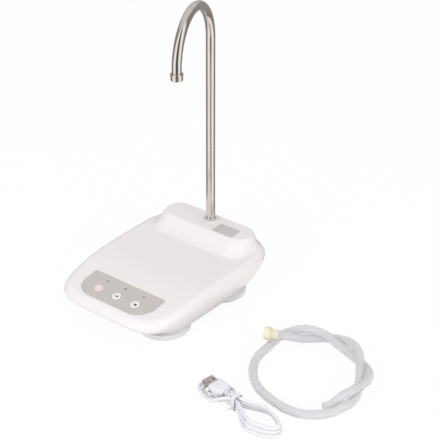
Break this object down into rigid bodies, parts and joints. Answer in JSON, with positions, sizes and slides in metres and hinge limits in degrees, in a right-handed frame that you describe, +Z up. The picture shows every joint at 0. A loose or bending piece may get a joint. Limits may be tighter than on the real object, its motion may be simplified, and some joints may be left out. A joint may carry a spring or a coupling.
{
  "type": "electric water jug pump",
  "caption": "Tabletop electric water pump: white tray base with a touch panel, steel gooseneck spout, loose suction hose and coiled charging cable.",
  "frame": {"origin": "middle of the base and spout, on the table under the foot pads", "axes": "+Z up, -Y towards the user and the control panel, +X to the user's right"},
  "size_m": [0.3349, 0.2315, 0.3084],
  "materials": {
    "white_gloss": "gloss white moulding",
    "white_matt": "matt white moulding",
    "foot_plastic": "white moulding",
    "pad_rubber": "grey rubber",
    "panel_grey": "warm grey, satin",
    "key_pink": "pale pink ring key",
    "key_white": "white key",
    "lamp": "dark lens, unlit",
    "board": "green board",
    "dark_plastic": "dark moulding",
    "cell": "shrink sleeve",
    "screw_steel": "plated",
    "motor_steel": "plated",
    "gear_plastic": "natural acetal",
    "pump_plastic": "natural moulding",
    "seal_rubber": "black rubber",
    "inner_hose": "milky silicone",
    "spout_steel": "fine brushed stainless",
    "port_steel": "nickel plated",
    "hose_silicone": "translucent silicone",
    "fitting_yellow": "pale yellow, translucent",
    "cable_white": "white soft vinyl"
  },
  "bodies": {
    "base": {"top_shell": "white_gloss", "bottom_cover": "white_matt", "cover_screws": "screw_steel", "feet": "foot_plastic", "foot_pads": "pad_rubber", "control_panel": "panel_grey", "indicator_lamps": "lamp", "control_board": "board", "key_switches": "dark_plastic", "board_screws": "screw_steel", "battery_cell": "cell", "battery_cradle": "dark_plastic", "motor_can": "motor_steel", "pump_mount": "dark_plastic", "pump_body": "pump_plastic", "pump_cover": "pump_plastic", "idler_pin": "motor_steel", "shaft_seal": "seal_rubber", "inlet_nipple": "white_matt", "inlet_hose": "inner_hose", "outlet_hose": "inner_hose", "spout_socket": "white_gloss", "socket_rings": "seal_rubber", "charge_board": "board", "charge_socket": "port_steel", "suction_hose": "hose_silicone", "hose_fitting": "fitting_yellow", "charge_cable": "cable_white", "usb_grip": "cable_white", "usb_shell": "port_steel", "micro_grip": "cable_white", "micro_shell": "port_steel", "cable_tie": "cable_white"},
    "power_key_body": {"power_key": "key_pink"},
    "small_key_body": {"small_cup_key": "key_white"},
    "large_key_body": {"large_cup_key": "key_white"},
    "spout": {"spout_tube": "spout_steel", "spout_collar": "spout_steel", "spout_nozzle": "spout_steel", "nozzle_screen": "dark_plastic"},
    "pump_drive": {"motor_shaft": "motor_steel", "drive_gear": "gear_plastic"},
    "pump_idler": {"idler_gear": "gear_plastic"}
  },
  "joints": [
    {"name": "power_press", "type": "slide", "parent": "base", "child": "power_key_body", "axis": [0, 0.1184, -0.993], "range_m": [0, 0.0006], "stiffness_N_per_m": 300, "springref_m": -0.0005},
    {"name": "small_cup_press", "type": "slide", "parent": "base", "child": "small_key_body", "axis": [0, 0.1184, -0.993], "range_m": [0, 0.0006], "stiffness_N_per_m": 300, "springref_m": -0.0005},
    {"name": "large_cup_press", "type": "slide", "parent": "base", "child": "large_key_body", "axis": [0, 0.1184, -0.993], "range_m": [0, 0.0006], "stiffness_N_per_m": 300, "springref_m": -0.0005},
    {"name": "spout_swivel", "type": "hinge", "parent": "base", "child": "spout", "pos_m": [0, 0.075, 0.051], "axis": [0, 0, 1], "continuous": true},
    {"name": "drive_spin", "type": "hinge", "parent": "base", "child": "pump_drive", "pos_m": [-0.037, 0.03, 0.0212], "axis": [1, 0, 0], "continuous": true},
    {"name": "idler_spin", "type": "hinge", "parent": "base", "child": "pump_idler", "pos_m": [-0.037, 0.042, 0.0212], "axis": [1, 0, 0], "continuous": true}
  ],
  "couplings": [
    {"joint": "idler_spin", "follows": "drive_spin", "ratio": -1}
  ]
}
